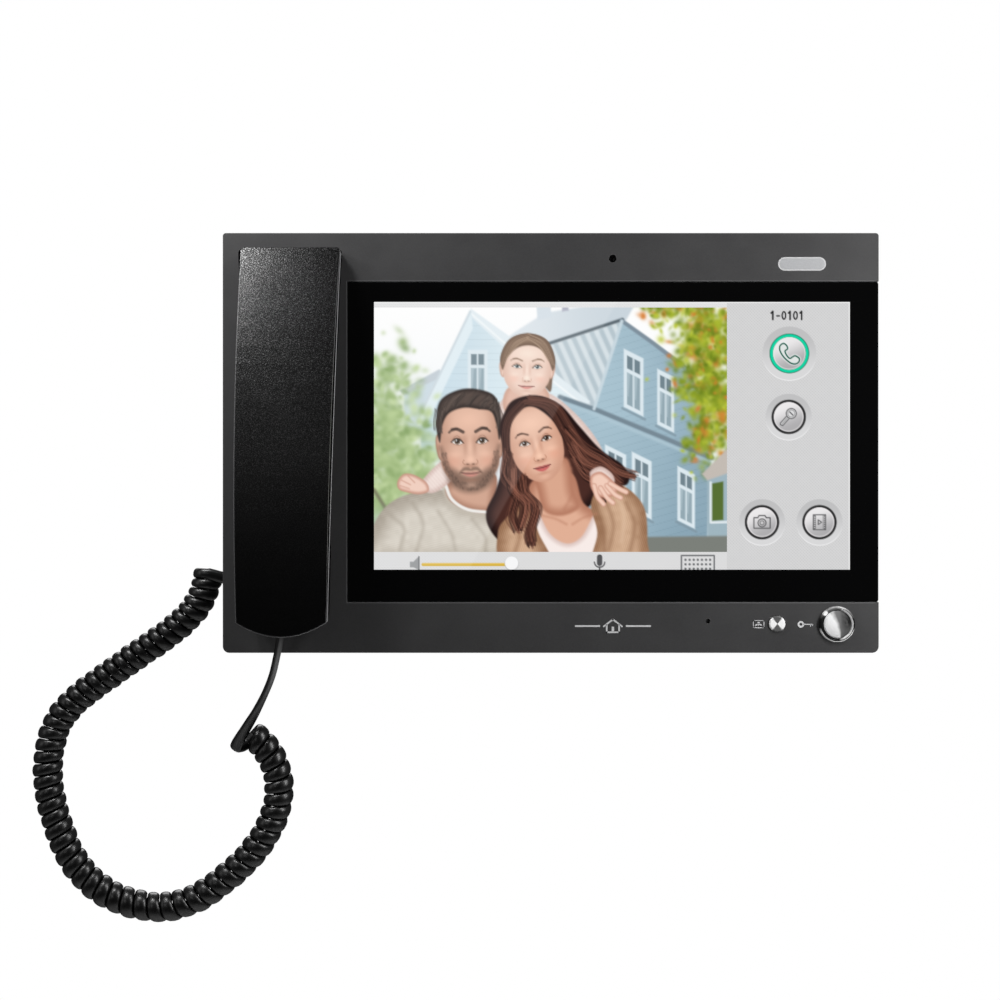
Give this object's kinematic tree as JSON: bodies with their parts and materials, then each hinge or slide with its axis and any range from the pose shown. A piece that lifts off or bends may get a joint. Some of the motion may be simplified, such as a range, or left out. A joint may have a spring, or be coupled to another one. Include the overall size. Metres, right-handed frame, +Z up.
{
  "type": "video intercom monitor",
  "caption": "Wall-hung touch-screen video intercom monitor with a corded handset, a hook switch, push buttons and a steel wall bracket it unhooks from.",
  "frame": {"origin": "on the wall plane, at the middle of the wall bracket's back face, behind the middle of the monitor", "axes": "+X to the right of a person facing the screen, +Y into the wall, +Z up"},
  "size_m": [0.4064, 0.07, 0.3309],
  "materials": {
    "charcoal_plastic": "fine satin texture",
    "black_plastic": "fine matte texture",
    "black_glass": "polished, black behind the border",
    "screen": "display film",
    "lamp_lens": "frosted",
    "chrome": "polished",
    "steel": "brushed",
    "circuit_board": "solder mask",
    "component": "moulded",
    "terminal_green": "moulded",
    "cord": "smooth soft jacket",
    "rubber": "soft",
    "clear_plastic": "clear"
  },
  "bodies": {
    "wall_bracket": {"wall_bracket": "steel"},
    "monitor": {"base_cord_plug": "clear_plastic", "base_cord_socket": "component", "camera_board": "circuit_board", "camera_module": "black_plastic", "case_screw_1": "steel", "case_screw_2": "steel", "case_screw_3": "steel", "case_screw_4": "steel", "case_screw_5": "steel", "case_screw_6": "steel", "case_screw_7": "steel", "case_screw_8": "steel", "clock_battery": "steel", "cord_coil": "cord", "cradle_magnet": "steel", "display_chassis": "steel", "front_case": "charcoal_plastic", "glass_adhesive": "rubber", "hook_board": "circuit_board", "hook_microswitch": "component", "hook_spring": "steel", "indicator_board": "circuit_board", "indicator_lens": "lamp_lens", "key_board": "circuit_board", "lcd_backlight": "steel", "lcd_cell": "screen", "main_board": "circuit_board", "microphone": "steel", "microphone_boot": "rubber", "monitor_switch": "component", "network_socket": "steel", "processor_shield": "steel", "rear_cover": "charcoal_plastic", "speaker_cone": "black_plastic", "speaker_frame": "steel", "speaker_magnet": "steel", "terminal_block": "terminal_green", "touch_glass": "black_glass", "unlock_button_ring": "chrome", "unlock_switch": "component"},
    "handset": {"handset_back_shell": "black_plastic", "handset_front_cover": "black_plastic", "handset_cord_socket": "component", "handset_keeper_plate": "steel", "handset_screw_upper": "steel", "handset_screw_lower": "steel", "handset_weight": "steel", "receiver_capsule": "steel", "receiver_gasket": "rubber", "transmitter_capsule": "steel", "cord_lead": "cord"},
    "hook_plunger": {"hook_plunger": "black_plastic"},
    "unlock_button": {"unlock_button": "chrome", "unlock_switch_stem": "black_plastic"},
    "monitor_button": {"monitor_button": "steel", "monitor_switch_stem": "black_plastic"}
  },
  "joints": [
    {"name": "unhook_slide", "type": "slide", "parent": "wall_bracket", "child": "monitor", "axis": [0, 0, 1], "range_m": [0, 0.008]},
    {"name": "handset_lift", "type": "slide", "parent": "monitor", "child": "handset", "axis": [0, -1, 0], "range_m": [0, 0.06]},
    {"name": "hook_rise", "type": "slide", "parent": "monitor", "child": "hook_plunger", "axis": [0, -1, 0], "range_m": [0, 0.004], "deforming": ["hook_spring"]},
    {"name": "unlock_press", "type": "slide", "parent": "monitor", "child": "unlock_button", "axis": [0, 1, 0], "range_m": [0, 0.001]},
    {"name": "monitor_press", "type": "slide", "parent": "monitor", "child": "monitor_button", "axis": [0, 1, 0], "range_m": [0, 0.001]}
  ],
  "couplings": [
    {"joint": "hook_rise", "follows": "handset_lift", "ratio": 0.0666}
  ]
}
